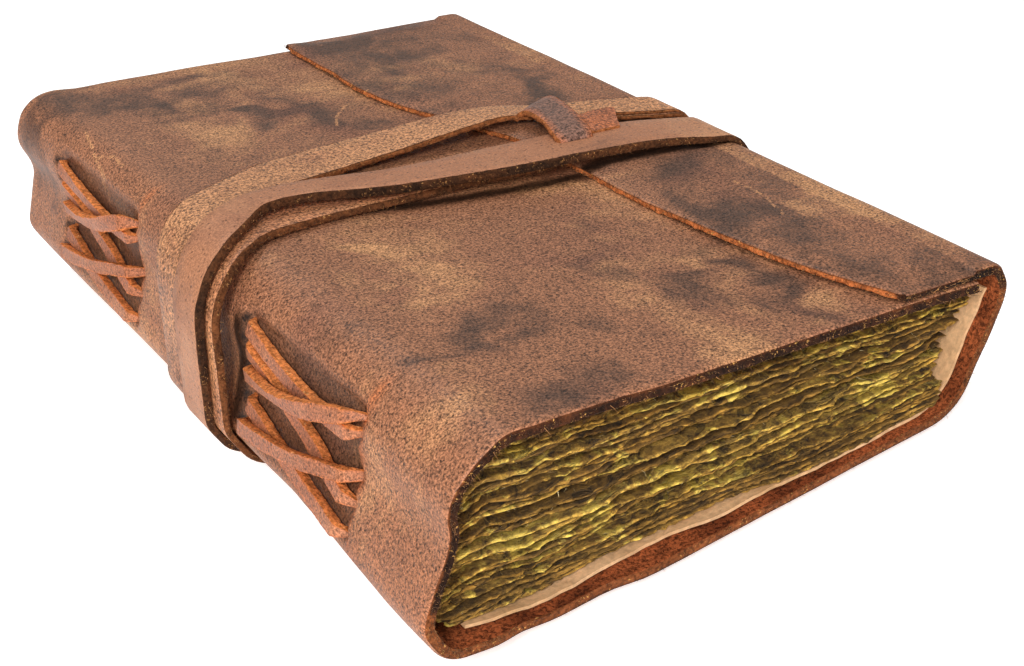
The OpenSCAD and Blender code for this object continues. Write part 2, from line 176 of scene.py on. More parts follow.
# How the sheet of leather becomes a mesh
def make(name, points, faces, slots=None, materials=(), attributes=None, crease=0.9):
    """A mesh object from row-frame points and faces, with a material index for each face."""
    mesh = bpy.data.meshes.new(name)
    mesh.from_pydata(np.asarray(points).tolist(), [], faces)
    for m in materials:
        mesh.materials.append(m)
    if slots is not None:
        mesh.polygons.foreach_set("material_index", np.asarray(slots, np.int32))
    for key, values in (attributes or {}).items():
        mesh.attributes.new(key, "FLOAT", "POINT").data.foreach_set(
            "value", np.asarray(values, np.float32).ravel())
    edit = bmesh.new()
    edit.from_mesh(mesh)
    bmesh.ops.recalc_face_normals(edit, faces=edit.faces)
    edit.to_mesh(mesh)
    edit.free()
    mesh.polygons.foreach_set("use_smooth", [True] * len(mesh.polygons))
    mesh.set_sharp_from_angle(angle=crease)
    piece = bpy.data.objects.new(name, mesh)
    bpy.context.scene.collection.objects.link(piece)
    return piece


def quads(rows, columns, first, wrap=False):
    """Faces of a grid of points, whose second index may close on itself."""
    last = columns if wrap else columns - 1
    i, j = np.meshgrid(np.arange(rows - 1), np.arange(last), indexing="ij")
    k = (j + 1) % columns
    return (first + np.stack([i * columns + j, (i + 1) * columns + j, (i + 1) * columns + k,
                              i * columns + k], -1)).reshape(-1, 4).tolist()


def slab(top, bottom, rim_rows, rim_out):
    """Points, faces and slots (0 top, 1 bottom, 2 rim) of a sheet between two grids of points.
    rim_out(f, n) says how far each of the rim's n points stands out, f of the way down."""
    rows, columns = top.shape[:2]
    ring = ([(0, j) for j in range(columns)] + [(i, columns - 1) for i in range(1, rows)]
            + [(rows - 1, j) for j in range(columns - 2, -1, -1)]
            + [(i, 0) for i in range(rows - 2, 0, -1)])
    edge = np.array([i * columns + j for i, j in ring])
    n, size = len(edge), rows * columns
    a, b = top.reshape(-1, 3), bottom.reshape(-1, 3)
    inner = np.array([min(max(i, 1), rows - 2) * columns + min(max(j, 1), columns - 2)
                      for i, j in ring])
    out = a[edge] - a[inner]
    out /= np.linalg.norm(out, axis=1)[:, None] + 1e-12
    rims = [a[edge] * (1 - f) + b[edge] * f + out * rim_out(f, n)[:, None]
            for f in np.linspace(0, 1, rim_rows + 2)[1:-1]]
    points = np.concatenate([a, b] + rims)
    levels = [edge] + [2 * size + k * n + np.arange(n) for k in range(rim_rows)] + [size + edge]
    faces = quads(rows, columns, 0) + [f[::-1] for f in quads(rows, columns, size)]
    slots = [0] * (len(faces) // 2) + [1] * (len(faces) // 2)
    for up, down in zip(levels, levels[1:]):
        rim = np.stack([up, down, np.roll(down, -1), np.roll(up, -1)], 1).tolist()
        faces += rim
        slots += [2] * len(rim)
    return points, faces, slots, levels


THIRD_TURN = 2.0944


def fibres(name, roots, ways, lengths, widths, seed, materials):
    """Loose fibres: thin tapering three-sided spikes that bend at random. Metres."""
    rng = np.random.default_rng(seed)
    n = len(roots)
    ways = ways + rng.normal(0, 0.45, (n, 3))
    ways /= np.linalg.norm(ways, axis=1)[:, None]
    across = np.cross(ways, rng.normal(0, 1, (n, 3)))
    across /= np.linalg.norm(across, axis=1)[:, None]
    third = np.cross(ways, across)
    bend = rng.normal(0, 0.35, (n, 3))
    points = []
    for f, w in ((0, 1), (0.5, 0.75)):
        centre = roots + ways * (lengths * f)[:, None] + bend * (lengths * f * f)[:, None]
        for t in (0, THIRD_TURN, 2 * THIRD_TURN):
            points.append(centre + (across * math.cos(t) + third * math.sin(t)) * (widths * w)[:, None])
    points.append(roots + ways * lengths[:, None] + bend * lengths[:, None])
    points = np.stack(points, 1)
    faces = []
    for i in range(n):
        o = i * 7
        for a, b in ((0, 1), (1, 2), (2, 0)):
            faces += [(o + a, o + b, o + b + 3, o + a + 3), (o + a + 3, o + b + 3, o + 6)]
        faces.append((o + 2, o + 1, o))
    shade = np.repeat(rng.uniform(0, 1, n) ** 2.5, 7)
    return make(name, points.reshape(-1, 3), faces, None, materials, {"shade": shade})


# How the leather is painted
class Value:
    """A shader socket that takes part in sums."""

    def __init__(self, tree, out):
        self.tree, self.out = tree, out

    def sum(self, how, *others):
        n = self.tree.nodes.new("ShaderNodeMath")
        n.operation = how
        for i, v in enumerate(others):
            if isinstance(v, Value):
                self.tree.links.new(v.out, n.inputs[i])
            else:
                n.inputs[i].default_value = v
        return Value(self.tree, n.outputs[0])

    def __add__(self, o):
        return self.sum("ADD", self, o)

    def __radd__(self, o):
        return self.sum("ADD", o, self)

    def __sub__(self, o):
        return self.sum("SUBTRACT", self, o)

    def __rsub__(self, o):
        return self.sum("SUBTRACT", o, self)

    def __mul__(self, o):
        return self.sum("MULTIPLY", self, o)

    def __rmul__(self, o):
        return self.sum("MULTIPLY", o, self)

    def most(self, o):
        return self.sum("MAXIMUM", self, o)

    def least(self, o):
        return self.sum("MINIMUM", self, o)


class Paint:
    """A material in the making."""

    def __init__(self, name):
        self.material = bpy.data.materials.new(name)
        self.material.use_nodes = True
        self.tree = self.material.node_tree
        self.bsdf = self.tree.nodes["Principled BSDF"]
        self.place = self.node("TexCoord", "Object")

    def node(self, kind, out=0, sockets=None, **settings):
        n = self.tree.nodes.new("ShaderNode" + kind)
        for k, v in settings.items():
            setattr(n, k, v)
        for k, v in (sockets or {}).items():
            self.put(n.inputs[k], v)
        return Value(self.tree, n.outputs[out])

    def put(self, socket, v):
        if isinstance(v, Value):
            self.tree.links.new(v.out, socket)
        else:
            colour = isinstance(v, tuple) and len(v) == 3 and socket.type == "RGBA"
            socket.default_value = (*v, 1) if colour else v

    def set(self, **inputs):
        for k, v in inputs.items():
            self.put(self.bsdf.inputs[k.replace("_", " ")], v)

    def stretched(self, x, y, z):
        return self.node("Mapping", 0, {"Vector": self.place, "Scale": (x, y, z)})

    def cloud(self, scale, detail=3, rough=0.55, twist=0.0, on=None):
        return self.node("TexNoise", "Fac", {"Vector": on or self.place, "Scale": scale,
                                             "Detail": detail, "Roughness": rough,
                                             "Distortion": twist})

    def cells(self, scale, on=None, feature="F1"):
        return self.node("TexVoronoi", "Distance", {"Vector": on or self.place, "Scale": scale},
                         feature=feature)

    def ramp(self, v, low, high, to_low=0.0, to_high=1.0):
        return self.node("MapRange", 0, {0: v, 1: low, 2: high, 3: to_low, 4: to_high},
                         interpolation_type="SMOOTHSTEP")

    def mix(self, f, a, b, how="MIX"):
        return self.node("Mix", 2, {0: f, 6: a, 7: b}, data_type="RGBA", blend_type=how)

    def shade(self, colour, f):
        """A colour times a value."""
        grey = self.node("CombineColor", 0, {0: f, 1: f, 2: f})
        return self.mix(1.0, colour, grey, "MULTIPLY")

    def attribute(self, name):
        return self.node("Attribute", "Fac", attribute_name=name)

    def scratch(self, run):
        """1 on a fine scratch along a run of places (x, y) of the book, and 0 off it."""
        parts = self.tree.nodes.new("ShaderNodeSeparateXYZ")
        self.put(parts.inputs[0], self.place)
        drift = (self.cloud(260, 3, 0.6) - 0.5) * 0.0022
        x, y = Value(self.tree, parts.outputs[0]) + drift, Value(self.tree, parts.outputs[1]) + drift
        nearest = None
        for (ax, ay), (bx, by) in zip(run, run[1:]):
            ax, bx = ((v + float(SHIFT[0])) * 1e-3 for v in (ax, bx))
            ay, by = ay * 1e-3, by * 1e-3
            dx, dy, size = bx - ax, by - ay, (bx - ax) ** 2 + (by - ay) ** 2
            f = (((x - ax) * dx + (y - ay) * dy) * (1 / size)).most(0.0).least(1.0)
            gx, gy = x - ax - f * dx, y - ay - f * dy
            gone = (gx * gx + gy * gy).sum("POWER", gx * gx + gy * gy, 0.5)
            nearest = gone if nearest is None else nearest.least(gone)
        return self.ramp(nearest, 0.0002, 0.0006, 1.0, 0.0) * self.ramp(self.cloud(420, 3, 0.7), 0.42, 0.52)

    def bump(self, height, depth, strength=1.0):
        """depth is the real height of a full step, in metres."""
        return self.node("Bump", 0, {"Height": height, "Distance": depth, "Strength": strength})


def grain_leather(name, brown, tan, dark, speckle, fine=1.0, scratches=()):
    """Waxed pull-up leather: cloudy tan and dark patches, pebbled grain, pores and rub marks.
    Attributes: tone lightens or darkens, rust turns it orange, and the third one is painted shade: it
    darkens the colour where shade falls, in holes, recesses and beside and under the strap.
    fine is the fineness of the grain; scratches are runs of places seen from above, in mm."""
    p = Paint(name)
    tone, rust, pit = p.attribute("tone"), p.attribute("rust"), p.attribute("pit")
    patch = p.cloud(13, 5, 0.68, 0.9) + p.cloud(52, 4, 0.66, 0.6) * 0.5 + tone * 0.3
    base = p.mix(p.ramp(patch, 0.70, 1.0), brown, tan)
    shadow = p.cloud(19, 5, 0.7, 1.1) + p.cloud(75, 4, 0.66) * 0.4 - tone * 0.34
    base = p.mix(p.ramp(shadow, 0.72, 1.06) * 0.9, base, dark)
    purple = p.ramp(p.cloud(31, 3, 0.6, 0.5), 0.5, 0.72) * 0.45
    base = p.mix(purple, base, (0.23, 0.098, 0.064))
    base = p.mix((rust + (p.cloud(160, 3) - 0.5) * rust * 1.2) * 0.8, base, (0.52, 0.150, 0.048))
    grit = p.cloud(1750 * fine, 3, 0.65)
    pebble = p.cells(980 * fine, feature="SMOOTH_F1")
    fleck = p.cloud(3300 * fine, 2, 0.6)
    light = (p.ramp(grit, 0.30, 0.72, 1 - speckle, 1 + speckle * 0.75)
             + p.ramp(fleck, 0.35, 0.65, -speckle * 0.35, speckle * 0.35))
    pores = p.ramp(p.cells(560 * fine), 0.10, 0.26)
    streak = p.cloud(1, 4, 0.7, 1.5, on=p.stretched(60, 240, 120))
    rub = p.ramp(streak, 0.64, 0.74) * p.ramp(p.cloud(24, 2), 0.48, 0.66)
    base = p.mix(rub * 0.5, base, (0.56, 0.27, 0.12))
    for run in scratches:
        base = p.mix(p.scratch(run) * 0.8, base, (0.58, 0.27, 0.12))
    # Painted shade: the third attribute darkens the colour where shade falls.
    base = p.shade(base, light * (0.44 + pores * 0.58) * (1 - pit * 0.93))
    height = grit * 0.5 + pebble * 0.5 + pores * 0.5 + p.cloud(230, 3) * 1.4
    p.set(Base_Color=base, Roughness=p.ramp(grit + purple, 0.2, 1.0, 0.42, 0.66),
          Normal=p.bump(height, 0.0002 / fine, 0.9))
    p.bsdf.inputs["Specular IOR Level"].default_value = 0.27
    return p.material


def cut_leather(name, dark, rust_colour, gold):
    """The suede of a cut edge: matted fibres, dark where it is soiled and orange where fresh."""
    p = Paint(name)
    rust = p.attribute("rust")
    mat = p.cloud(950, 4, 0.7)
    worn = p.ramp(p.cloud(170, 3, 0.6), 0.42, 0.68) * 0.10
    base = p.mix((rust + worn).least(1.0), dark, rust_colour)
    base = p.mix(p.ramp(p.cloud(1500, 2, 0.6), 0.60, 0.70) * p.ramp(p.cloud(260, 2), 0.45, 0.6),
                 base, gold)
    base = p.shade(base, p.ramp(mat, 0.3, 0.7, 0.35, 1.35))
    p.set(Base_Color=base, Roughness=0.92, Normal=p.bump(mat + p.cloud(2400, 2) * 0.5, 0.0005))
    p.bsdf.inputs["Specular IOR Level"].default_value = 0.15
    return p.material


def flesh_leather(name, pale, deep):
    """The rough inner side of the leather: a short matted nap."""
    p = Paint(name)
    nap = p.cloud(1250, 4, 0.72, 0.6)
    base = p.mix(p.ramp(p.cloud(60, 4, 0.6), 0.35, 0.65), pale, deep)
    base = p.shade(base, p.ramp(nap, 0.34, 0.66, 0.25, 1.7))
    p.set(Base_Color=base, Roughness=0.95, Normal=p.bump(nap, 0.0005))
    p.bsdf.inputs["Specular IOR Level"].default_value = 0.12
    return p.material


def fibre_leather(name, dark, light):
    """Single loose fibres, each with its own shade."""
    p = Paint(name)
    p.set(Base_Color=p.mix(p.attribute("shade"), dark, light), Roughness=0.8)
    return p.material


# Scratches seen on the hide, as places from above
SCRATCHES = [[(-66, 84), (-69, 70), (-71, 58), (-75.5, 50)], [(-69, 70), (-66, 62), (-66, 55)],
             [(-7, 48), (-3, 56), (2.6, 62), (8, 65), (12.7, 66)],
             [(54.7, -49.6), (55.2, -56), (54.7, -61), (50.6, -73.5)]]
HIDE_GRAIN = grain_leather("hide_grain", (0.325, 0.140, 0.072), (0.54, 0.265, 0.120),
                           (0.085, 0.045, 0.030), 0.74, scratches=SCRATCHES)
HIDE_CUT = cut_leather("hide_cut", (0.011, 0.005, 0.003), (0.62, 0.180, 0.052), (0.70, 0.36, 0.10))
HIDE_FLESH = flesh_leather("hide_flesh", (0.34, 0.088, 0.028), (0.15, 0.036, 0.011))
HIDE_FIBRE = fibre_leather("hide_fibre", (0.035, 0.014, 0.006), (0.50, 0.22, 0.07))

# Places on the spine
LACE_SPAN = 53.0
LACINGS = {"tail": -32.0, "head": 88.0}
LEFT_HOLES = [43.6, 38.5, 31, 24.7, 18.8]
RIGHT_HOLES = [43.4, 38.8, 29.7, 23.8, 17.2]


def sunk(s, y):
    """How far the spine lies in between the two columns of holes of each lacing, 0 to 1."""
    up = smooth((s - spine_s(47.5)) / 4) * smooth((spine_s(12) - s) / 5)
    f = 0
    for y0 in LACINGS.values():
        right = y0 - LACE_SPAN + 0.6 * noise(s / 5, 0, 5)
        f = f + smooth((y - right + 0.9) / 1.6) * smooth((y0 + 2.5 - y) / 4.5)
    return up * f


# Its cut edge over the cover, its rows and its mesh
FLAP_REACH, FLAP_MORE_HEAD, FLAP_LESS_TAIL = 36.8, 18.1, 16.0


def flap_edge(y):
    """x of the flap's cut edge, which reaches farthest over the cover at the head."""
    v = y / (HALF + 2)
    pull = FLAP_MORE_HEAD * smooth((v + 0.08) / 0.68)
    edge = FORE_X - FLAP_REACH - pull + FLAP_LESS_TAIL * np.maximum(-v, 0) ** 3.2
    return edge + 0.35 * noise(y / 11, 0, 3) + 0.15 * noise(y / 2.5, 0, 4)


def hide_rows():
    """Distances along the hide, closest together on the spine; the flap has its own rows."""
    turn = LINE.where("x", -57, 60, BULGE_S)
    foot = LINE.where("x", -58, BULGE_S, 260)
    toe = LINE.where("x", 50, foot, CORNER_S)
    lip = LINE.where("x", 66, CORNER_S + 4, LINE.length)
    steps = [(0, turn, 1.75), (turn, foot, 0.9), (foot, toe, 3.2), (toe, lip, 1.3)]
    runs = [np.linspace(a, b, int((b - a) / d), endpoint=False) for a, b, d in steps]
    return np.concatenate([[0.4, 1.0], runs[0][1:], *runs[1:]]), lip


fixed_s, flap_s = hide_rows()
inner_y = np.linspace(-HALF + 2.4, HALF - 2.4, 147)
hide_y = np.concatenate([[-HALF, -HALF + 0.45, -HALF + 1.2], inner_y, [HALF - 1.2, HALF - 0.45, HALF]])
flap_f = np.concatenate([np.linspace(0, 1, 34)[:-1], [0.982, 1.0]])
fixed_s = np.concatenate([[0.0], fixed_s])
S = np.repeat(fixed_s[:, None], len(hide_y), 1)
end_s = LINE.where("x", flap_edge(hide_y), flap_s, LINE.length)
S = np.concatenate([S, flap_s + (end_s - flap_s)[None, :] * flap_f[:, None]])
Y = np.repeat(hide_y[None, :], len(S), 0)
near_tail, near_head = smooth((-HALF + 5 - Y) / 5), smooth((Y - HALF + 5) / 5)
wobble = 0.32 * noise(S / 17, 0, 11) + 0.12 * noise(S / 3, 0, 12)
place_x, place_z = LINE.at(S, 0)
wobble = wobble * (1 - 0.75 * (place_z < 12))
Y = Y + wobble * near_tail + np.roll(wobble, 40, 0) * near_head
Y = Y + 1.8 * near_tail * (place_z < 3) * smooth((-26 - place_x) / 12) * smooth((place_x + 66) / 10)
spine_zone = smooth((S - spine_s(52)) / 8) * smooth((spine_s(8) - S) / 8)
dip = 0.22 * (noise(S / 38, Y / 46, 21) + 1) + 0.09 * (noise(S / 11, Y / 13, 22) + 1)
dip += 0.10 * spine_zone * (noise(S / 16, Y / 4.5, 23) + 1)
dip += 1.6 * sunk(S, Y)
# Painted shade: the recess between the columns of holes and the holes themselves are darkened in the
# colour.
pit = 0.52 * sunk(S, Y)
for y0 in LACINGS.values():
    for side, heights in ((0, LEFT_HOLES), (1, RIGHT_HOLES)):
        for z in heights:
            gone = np.hypot(S - spine_s(z), Y - (y0 - side * LACE_SPAN))
            dip += 1.5 * np.exp(-(gone / 1.7) ** 2)
            # Painted shade in each hole.
            dark_hole = np.hypot(S - spine_s(z), Y - (y0 + 1.3 - side * LACE_SPAN))
            pit = np.maximum(pit, np.exp(-(dark_hole / 1.5) ** 4))
on_flap_edge = smooth((S - end_s[None, :] + 7) / 7)
thinned = 0.9 * (S > flap_s) * np.maximum(on_flap_edge, smooth((np.abs(Y) - HALF + 9) / 9))
dip += thinned
# Painted shadow: a dark line on the cover along the tail side of the strap's second turn, where the strap
# stands off it.
under_edge = np.interp(place_x, [-40, -18, -4, 18, 48, 66, 74],
                       [-8, -14.6, -17.3, -20.6, -22.8, -25.8, -26])
shaded = smooth((under_edge + 4 - Y) / 2) * smooth((Y - under_edge + 2.6) / 2.2)
shaded = shaded * smooth((place_x + 40) / 22)
# Painted shadow on the spine, beside the tail side of the strap's first turn.
beside = smooth((Y + 32.5) / 2.5) * smooth((-25.5 - Y) / 1.5) * smooth((S - spine_s(46)) / 5)
pit = np.maximum(pit, 0.95 * beside * smooth((spine_s(14) - S) / 5))
pit = np.maximum(pit, 0.95 * shaded * (place_z > 33) * smooth((74 - place_x) / 10))
curl = 0.35 * on_flap_edge * smooth((np.abs(Y) - 45) / 20) * (S > flap_s)
pressed = smooth((S - CORNER_S + 4) / 8) * smooth((CORNER_S + 24 - S) / 10)
dip += 0.7 * pressed * smooth((Y + 28) / 3) * smooth((12 - Y) / 3)
round_off = np.zeros_like(S)
for k, drop in ((0, 0.42), (1, 0.1)):
    round_off[:, [k, -1 - k]] = drop
    round_off[[k, -1 - k], :] = np.maximum(round_off[[k, -1 - k], :], drop)
top_x, top_z = LINE.at(S, curl - dip - round_off)
low_x, low_z = LINE.at(S, curl - dip + thinned - HIDE_T + 0.12 * noise(S / 5, Y / 6, 25))
rng = np.random.default_rng(7)


def hide_edge(f, n):
    """How far the raw edge stands out, in metres: ragged, and more so on the flesh side."""
    return 1e-3 * (0.10 + 0.22 * f + rng.normal(0, 0.10 + 0.08 * f, n))


points, faces, slots, levels = slab(row(top_x, Y, top_z), row(low_x, Y, low_z), 3, hide_edge)

# Smudges seen on the grain, as x, y, reach in x, reach in y, and tone
SMUDGES = [
    (-39, -29, 13, 10, 1.0), (-35, -58, 12, 8, 0.9), (42, 82, 12, 14, 0.35), (20, -26, 14, 5, 0.4),
    (-56, -20, 9, 9, 0.4), (13, -60, 10, 10, 0.4), (63, -66, 9, 12, 0.5), (72, -86, 9, 20, 0.4),
    (43, -30, 9, 6, 0.4), (-64, 108, 9, 10, -1.4), (-30, 105, 16, 7, -0.8), (-29, 83, 14, 12, -0.9),
    (-15, 68, 15, 14, -1.1), (-5, 54, 10, 14, -1.3), (-52, 92, 12, 14, -0.6), (24, 107, 15, 8, -1.4),
    (56, 48, 11, 20, -1.5), (38, 84, 10, 8, -0.7), (-36, -80, 15, 12, -1.1), (-35, -112, 17, 7, -0.75),
    (-33, -50, 6, 7, -0.7), (-2, -64, 12, 12, -0.6), (20, -81, 14, 10, -1.1), (29, -103, 16, 8, -0.9),
    (44, -62, 8, 12, -0.7), (52, -76, 7, 8, -0.7), (50, -32, 10, 6, -0.5), (-8, -98, 16, 12, -0.6)]


def tone_at(x, y, z):
    tone = 0.30 * noise(x / 26, y / 34, 31)
    x, y = x + 9 * noise(x / 12, y / 12, 32), y + 9 * noise(x / 12, y / 12, 33)
    x, y = x + 3 * noise(x / 4.5, y / 4.5, 34), y + 3 * noise(x / 4.5, y / 4.5, 35)
    patchy = 0.75 + 0.6 * noise(x / 6, y / 6, 36)
    for cx, cy, rx, ry, how in SMUDGES:
        tone = tone + how * patchy * np.exp(-((x - cx) / rx) ** 2 - ((y - cy) / ry) ** 2) * (z > 25)
    return tone


tone = tone_at(place_x, Y, place_z) - 0.42 * (S > flap_s)
back = smooth((S - BULGE_S - 20) / 10) * smooth((CORNER_S - 10 - S) / 20)
rust = spine_zone * (0.12 + 0.18 * smooth((34 - place_z) / 26)) - 0.08 * sunk(S, Y)
for y0 in LACINGS.values():
    rust = rust + spine_zone * 0.7 * np.exp(-((Y - (y0 - LACE_SPAN - 0.9)) / 1.3) ** 2)
rust = rust + 0.12 * (round_off > 0.3) - 0.1 * back
edge_rust = np.where(S > flap_s, 0.9, np.where(S > spine_s(20), 0.28, 0.02))
edge_rust = np.where((S > CORNER_S) & (np.abs(Y) > HALF - 1.5), 0.0, edge_rust)


def over_hide(a):
    """A value of the hide's grid for all its points: grain side, flesh side and three rim rows."""
    return np.concatenate([a.ravel(), a.ravel()] + [a.ravel()[levels[0]]] * 3)


is_rim = np.zeros(len(points), bool)
is_rim[np.concatenate(levels[1:])] = True
rust_all = np.where(is_rim, over_hide(edge_rust), over_hide(rust))
hide = make("hide", points, faces, slots, [HIDE_GRAIN, HIDE_FLESH, HIDE_CUT],
            {"tone": over_hide(tone), "rust": rust_all, "pit": over_hide(pit)})
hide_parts("cover")
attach(hide, "root")

# The loose fibres of the hide's cut edges
rim_rows = np.stack([points[levels[k]] for k in (1, 2, 3, 4)], 1)
count = 5200
pick = rng.integers(0, len(rim_rows), count)
level = rng.integers(0, 4, count)
slide = rng.uniform(0, 1, count)[:, None]
roots = rim_rows[pick, level] * (1 - slide) + rim_rows[(pick + 1) % len(rim_rows), level] * slide
middle = np.mean(points, 0)
ways = roots - middle
ways[:, 0] *= 0.2
ways[:, 2] *= 0.1
from_ends = (np.abs(roots[:, 1]) < (HALF - 2) * 1e-3)
ways[from_ends] = np.where(roots[from_ends, 0:1] < 0.055, [-1.0, 0, -0.1], [1.0, 0, -0.2])
ways /= np.linalg.norm(ways, axis=1)[:, None]
hide_fibres = fibres("hide_fibres", roots, ways, rng.gamma(2.0, 0.00028, count) + 0.0001,
                     rng.uniform(0.00003, 0.00008, count), 8, [HIDE_FIBRE])
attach(hide_fibres, "root")


# Leaves
# Five gatherings of thick handmade paper, torn and not cut, aged to olive and gold. They are
# folded at the spine and sewn there by the thongs; here each shows its torn, layered edges.
def join(parts):
    """Several (points, faces, slots) as one."""
    points, faces, slots, first = [], [], [], 0
    for p, f, s in parts:
        points.append(p)
        faces += [[v + first for v in face] for face in f]
        slots += s
        first += len(p)
    return np.concatenate(points), faces, slots


def paper(name):
    p = Paint(name)
    sheet_tone, rim = p.attribute("sheet"), p.attribute("rim")
    gap = p.attribute("gap")
    lay = p.cloud(1, 5, 0.72, 0.5, on=p.stretched(85, 260, 1500))
    pulp = p.cloud(420, 5, 0.75, 0.4)
    base = p.mix(p.ramp(lay, 0.36, 0.66), (0.165, 0.078, 0.012), (0.60, 0.305, 0.048))
    base = p.mix(p.ramp(pulp + sheet_tone * 0.22, 0.48, 0.80) * 0.8, base, (0.84, 0.49, 0.080))
    gold = p.ramp(p.cloud(88, 4, 0.7, 0.9) + p.cloud(420, 3, 0.7) * 0.45 + sheet_tone * 0.1, 0.78, 0.90)
    base = p.mix(gold * (0.4 + rim * 0.6), base, (1.0, 0.70, 0.12))
    green = p.ramp(p.cloud(52, 3, 0.6), 0.45, 0.65) * 0.2
    base = p.mix(green, base, (0.30, 0.185, 0.026))
    # Painted shade: thin dark lines along the layers stand for shade in the crevices between them.
    crevice_shade = p.ramp(p.cloud(1, 4, 0.7, 1.2, on=p.stretched(90, 160, 1500)), 0.36, 0.46)
    # Painted shade between the leaves: the third attribute darkens each leaf's hidden faces and the top and
    # bottom of its rim.
    base = p.shade(base, (0.40 + crevice_shade * 0.6) * p.ramp(pulp, 0.28, 0.72, 0.50, 1.5) * (1.1 - gap * 0.98))
    p.set(Base_Color=base, Roughness=p.ramp(gold, 0, 1, 0.85, 0.45),
          Normal=p.bump(lay * 1.2 + pulp + crevice_shade * 0.6, 0.0009, 0.9))
    return p.material


PAPER = paper("paper")
LAYERS = 38
GATHERINGS = [8, 8, 8, 7, 7]
PAPER_HALF = 112.0


def bed(x):
    return HIDE_T + 0.9 + 0.6 + np.maximum(0, HEEL_TOE[0] + 2 - x) * 4.6 / 23.5


def roof(x):
    cx, cz, r = SHOULDER_C[0], SHOULDER_C[1], 14 - HIDE_T - 0.9
    arc = cz + np.sqrt(np.maximum(r * r - (x - cx) ** 2, 0))
    return np.where(x < cx, arc, cover_z(x) - (HIDE_T + 0.9) * math.hypot(1, SLOPE))


shoulder_s = LINE.where("x", -70, 120, 165)
sx, sz = LINE.at(shoulder_s, -14.0)
SHOULDER_C = (float(sx), float(sz))
columns_y = np.concatenate([[0, 0.5, 1.1, 2.0, 3.4, 5.5, 9, 15, 26], np.linspace(45, 179, 5),
                            2 * PAPER_HALF - np.array([26, 15, 9, 5.5, 3.4, 2.0, 1.1, 0.5, 0])])
rows_t = np.linspace(0, 1, 102)
layer = 0
shares = np.random.default_rng(5).uniform(0.45, 1.75, LAYERS)


def torn_rim(f, n):
    """The swollen, ragged rim of a torn leaf, in metres."""
    return 1e-3 * (0.55 * math.sin(math.pi * f) + rng.normal(0, 0.22, n))


steps = np.concatenate([[0], np.cumsum(shares)]) / shares.sum()
for g, size in enumerate(GATHERINGS):
    parts, sheet_values, rim_values, gap_shade_values = [], [], [], []
    for k in range(size):
        rng = np.random.default_rng(100 + layer)
        f0, f1 = steps[layer], steps[layer + 1]
        z_here = bed(-66) + (f0 + f1) / 2 * (roof(-66) - bed(-66))
        x0 = LINE.at(spine_s(np.clip(z_here, 9, 50)), -HIDE_T)[0] + 3.2 + (0 if k in (2, 3) else 1.2)
        z_far = bed(66) + (f0 + f1) / 2 * (roof(66) - bed(66))
        wall_s = LINE.where("z", z_far, CORNER_S - 34, CORNER_S + 4)
        x1 = LINE.at(wall_s, -HIDE_T)[0] - 0.9 - 3.4 + 2.6 * f0 - 1.8 * rng.uniform()
        steady = float(smooth((f0 - 0.03) / 0.14))
        tail, head = rng.uniform(-1.6, 1.6, 2) * steady
        T, C = np.meshgrid(rows_t, columns_y, indexing="ij")
        X = x0 + (x1 - x0) * T
        torn = (1.5 * noise(X / 17, layer * 3.1, 41) + 0.7 * noise(X / 4.5, layer * 5.7, 42)
                + 0.3 * noise(X / 1.4, layer, 43))
        torn = torn * (0.35 + 0.65 * steady)
        torn_head = 1.5 * noise(X / 17, layer * 2.3 + 9, 44) + 0.7 * noise(X / 4.5, layer * 3.3, 45)
        Yp = -PAPER_HALF + C
        reach = 0.6 + 2.2 * smooth((-50 - X) / 18) + 5.0 * smooth((X + 22) / 50)
        reach = reach * smooth((0.36 - f0) / 0.34)
        Yp = (Yp + (tail + torn - reach) * smooth((20 - C) / 20)
              - (head + torn_head) * smooth((C - 204) / 20))
        fore_torn = 1.0 * noise(Yp / 13, layer * 1.9, 46) + 0.5 * noise(Yp / 3, layer, 47)
        X = X - fore_torn * smooth((T - 0.9) / 0.1)
        near_end = smooth((24 - np.minimum(C, 2 * PAPER_HALF - C)) / 24)
        room = roof(X) - bed(X)
        free = np.sin(np.pi * (f0 + f1) / 2)
        sway = (0.25 + 0.75 * near_end) * noise(X / 15 + Yp / 90, layer * 0.33, 51) * free
        sway = sway + 0.32 * near_end * noise(X / 5, layer * 0.6, 52) * free
        lean = smooth((3 - C) / 3)
        thick = room * (f1 - f0) * (0.90 + 0.24 * noise(X / 8, layer * 2.7, 53) * near_end - 0.34 * lean)
        thick = thick * (1 - 0.35 * near_end * (k == size - 1) * smooth((X + 30) / 60))
        middle_z = bed(X) + room * (f0 + f1) / 2 + sway
        rough = 0.12 * near_end * noise(X / 1.6, Yp / 1.6, 60 + layer)
        top_z = np.minimum(middle_z + thick / 2 + rough, roof(X) + 0.4)
        low_z = np.maximum(middle_z - thick / 2 - rough, bed(X))
        low_z = np.minimum(low_z, top_z - 0.3)
        p, f, s, lv = slab(row(X, Yp, top_z), row(X, Yp, low_z), 3, torn_rim)
        parts.append((p, f, s))
        sheet_values.append(np.full(len(p), rng.uniform(-1, 1)))
        rim = np.concatenate([lean.ravel(), lean.ravel(), np.ones(3 * len(lv[0]))])
        # Painted shade between the leaves: the faces are darkened most, the rim's top and bottom rows less,
        # and its middle not at all.
        rim_gap_shade = [np.full(len(lv[0]), v) for v in (0.25, 0.0, 0.35)]
        gap_shade_values.append(np.concatenate([np.full(lean.size, 0.75), np.full(lean.size, 0.95), *rim_gap_shade]))
        rim_values.append(rim)
        layer += 1
    points, faces, _ = join(parts)
    leaves = make("leaves_%d" % (g + 1), points, faces, None, [PAPER],
                  {"sheet": np.concatenate(sheet_values), "rim": np.concatenate(rim_values),
                   "gap": np.concatenate(gap_shade_values)})
    if g == 0:
        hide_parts("text_block")
    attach(leaves, "root")

